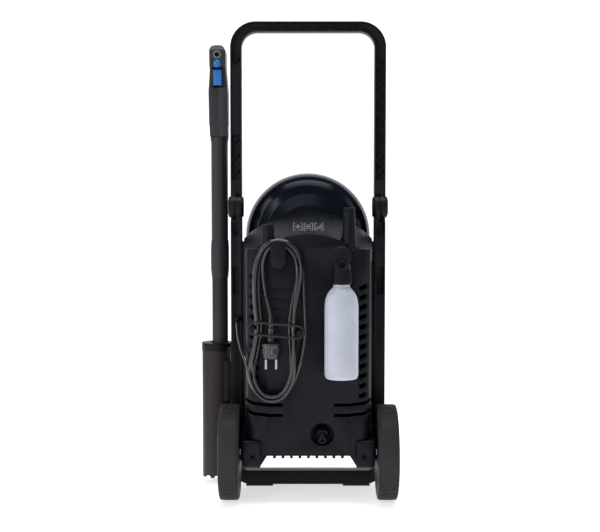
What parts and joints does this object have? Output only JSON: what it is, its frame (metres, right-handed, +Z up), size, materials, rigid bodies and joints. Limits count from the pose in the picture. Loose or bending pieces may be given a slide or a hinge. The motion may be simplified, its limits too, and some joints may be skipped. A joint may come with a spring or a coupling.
{
  "type": "pressure washer",
  "caption": "Upright electric pressure washer on a two-wheeled trolley, with a folding push handle, a lance in a side tube, a hose reel tub, a foam bottle and a mains lead in a hank.",
  "frame": {"origin": "on the floor, under the middle of the machine's bounding box without the mains lead", "axes": "+Z up, +Y to the back where the cord and the bottle hang, +X towards the side that carries the lance"},
  "size_m": [0.387, 0.364, 0.922],
  "materials": {
    "body_black": "fine grained",
    "tub_gloss": "polished",
    "frame_black": "satin",
    "knob_black": "grained",
    "wheel_black": "grained",
    "foot_rubber": "matte",
    "cord_rubber": "smooth sheath",
    "strap_rubber": "elastic",
    "pin_metal": "plated",
    "bottle_white": "milky",
    "holder_brown": "satin",
    "lance_grey": "satin",
    "trigger_blue": "gloss",
    "reel_grey": "grained",
    "steel": "ground",
    "motor_paint": "enamel",
    "pump_alloy": "cast",
    "brass": "turned",
    "inner_plastic": "moulded"
  },
  "bodies": {
    "trolley": {"rear_housing": "body_black", "front_housing": "body_black", "accessory_pegs": "body_black", "axle_bracket_left": "body_black", "axle_bracket_right": "body_black", "water_inlet": "body_black", "cord_gland": "body_black", "reel_tub": "tub_gloss", "side_rail_left": "frame_black", "side_rail_right": "frame_black", "foot_bar": "frame_black", "holder_collar": "frame_black", "foot_pads": "foot_rubber", "power_cord_tube": "cord_rubber", "power_cord_hank": "cord_rubber", "power_plug": "cord_rubber", "cord_strap": "strap_rubber", "plug_pins": "pin_metal", "lance_holder": "holder_brown", "axle": "steel", "axle_clips": "steel", "hinge_pins": "steel", "bracket_screws": "steel", "reel_axle": "steel", "motor_bearings": "steel", "pistons": "steel", "piston_springs": "steel", "motor_can": "motor_paint", "pump_head": "pump_alloy", "outlet_pipe": "pump_alloy", "electronics_box": "inner_plastic"},
    "wheel_left": {"wheel_left": "wheel_black"},
    "wheel_right": {"wheel_right": "wheel_black"},
    "handle": {"push_handle": "frame_black"},
    "knob_left": {"lock_knob_left": "knob_black"},
    "knob_right": {"lock_knob_right": "knob_black"},
    "hook": {"cord_hook": "body_black"},
    "reel": {"reel_drum": "reel_grey", "reel_flange": "reel_grey", "reel_crank": "knob_black"},
    "crank_knob": {"reel_knob": "knob_black"},
    "switch": {"power_switch": "knob_black"},
    "lance": {"lance_tube": "lance_grey", "lance_sleeve": "lance_grey", "lance_lower": "lance_grey", "lance_tip": "lance_grey", "gun_shell_left": "lance_grey", "gun_shell_right": "lance_grey", "gun_inlet": "lance_grey", "gun_valve": "brass", "trigger_spring": "steel"},
    "trigger": {"gun_trigger": "trigger_blue"},
    "lock": {"trigger_lock": "trigger_blue"},
    "spare": {"spare_nozzle": "body_black"},
    "foam": {"foam_head": "body_black"},
    "bottle": {"foam_bottle": "bottle_white"},
    "foam_tip": {"foam_nozzle": "body_black"},
    "motor": {"motor_rotor": "steel", "cooling_fan": "inner_plastic", "wobble_plate": "steel"}
  },
  "joints": [
    {"name": "wheel_left_spin", "type": "hinge", "parent": "trolley", "child": "wheel_left", "pos_m": [0.1285, 0.066, 0.091], "axis": [1, 0, 0], "continuous": true},
    {"name": "wheel_right_spin", "type": "hinge", "parent": "trolley", "child": "wheel_right", "pos_m": [-0.1715, 0.066, 0.091], "axis": [1, 0, 0], "continuous": true},
    {"name": "handle_fold", "type": "hinge", "parent": "trolley", "child": "handle", "pos_m": [-0.0215, -0.043, 0.559], "axis": [1, 0, 0], "range_deg": [0, 120]},
    {"name": "knob_left_turn", "type": "hinge", "parent": "trolley", "child": "knob_left", "pos_m": [0.1345, -0.043, 0.559], "axis": [1, 0, 0], "range_deg": [0, 90]},
    {"name": "knob_right_turn", "type": "hinge", "parent": "trolley", "child": "knob_right", "pos_m": [-0.1775, -0.043, 0.559], "axis": [1, 0, 0], "range_deg": [0, 90]},
    {"name": "cord_hook_turn", "type": "hinge", "parent": "trolley", "child": "hook", "pos_m": [0.0345, 0.134, 0.474], "axis": [0, 1, 0], "range_deg": [0, 180]},
    {"name": "reel_spin", "type": "hinge", "parent": "trolley", "child": "reel", "pos_m": [-0.0215, -0.094, 0.501], "axis": [0, 1, 0], "continuous": true},
    {"name": "crank_knob_spin", "type": "hinge", "parent": "reel", "child": "crank_knob", "pos_m": [-0.0215, -0.162, 0.584], "axis": [0, 1, 0], "continuous": true},
    {"name": "power_switch_turn", "type": "hinge", "parent": "trolley", "child": "switch", "pos_m": [-0.0215, -0.118, 0.3], "axis": [0, 1, 0], "range_deg": [0, 90]},
    {"name": "lance_lift", "type": "slide", "parent": "trolley", "child": "lance", "axis": [0, 0, 1], "range_m": [0, 0.28]},
    {"name": "trigger_pull", "type": "hinge", "parent": "lance", "child": "trigger", "pos_m": [0.156, -0.038, 0.827], "axis": [-1, 0, 0], "range_deg": [0, 8], "stiffness_Nm_per_rad": 0.6, "springref_deg": -5.73},
    {"name": "trigger_lock_turn", "type": "hinge", "parent": "lance", "child": "lock", "pos_m": [0.156, -0.018, 0.8385], "axis": [0, 1, 0], "range_deg": [0, 90]},
    {"name": "spare_nozzle_lift", "type": "slide", "parent": "trolley", "child": "spare", "axis": [0, 0, 1], "range_m": [0, 0.06]},
    {"name": "foam_set_release", "type": "slide", "parent": "trolley", "child": "foam", "axis": [0, 1, 0], "range_m": [0, 0.05]},
    {"name": "bottle_unscrew", "type": "hinge", "parent": "foam", "child": "bottle", "pos_m": [-0.0815, 0.151, 0.3], "axis": [0, 0, 1], "continuous": true},
    {"name": "foam_tip_turn", "type": "hinge", "parent": "foam", "child": "foam_tip", "pos_m": [-0.0815, 0.166, 0.457], "axis": [0, 1, 0], "range_deg": [0, 90]},
    {"name": "motor_spin", "type": "hinge", "parent": "trolley", "child": "motor", "pos_m": [-0.0215, 0.016, 0.3], "axis": [0, 0, 1], "continuous": true}
  ]
}
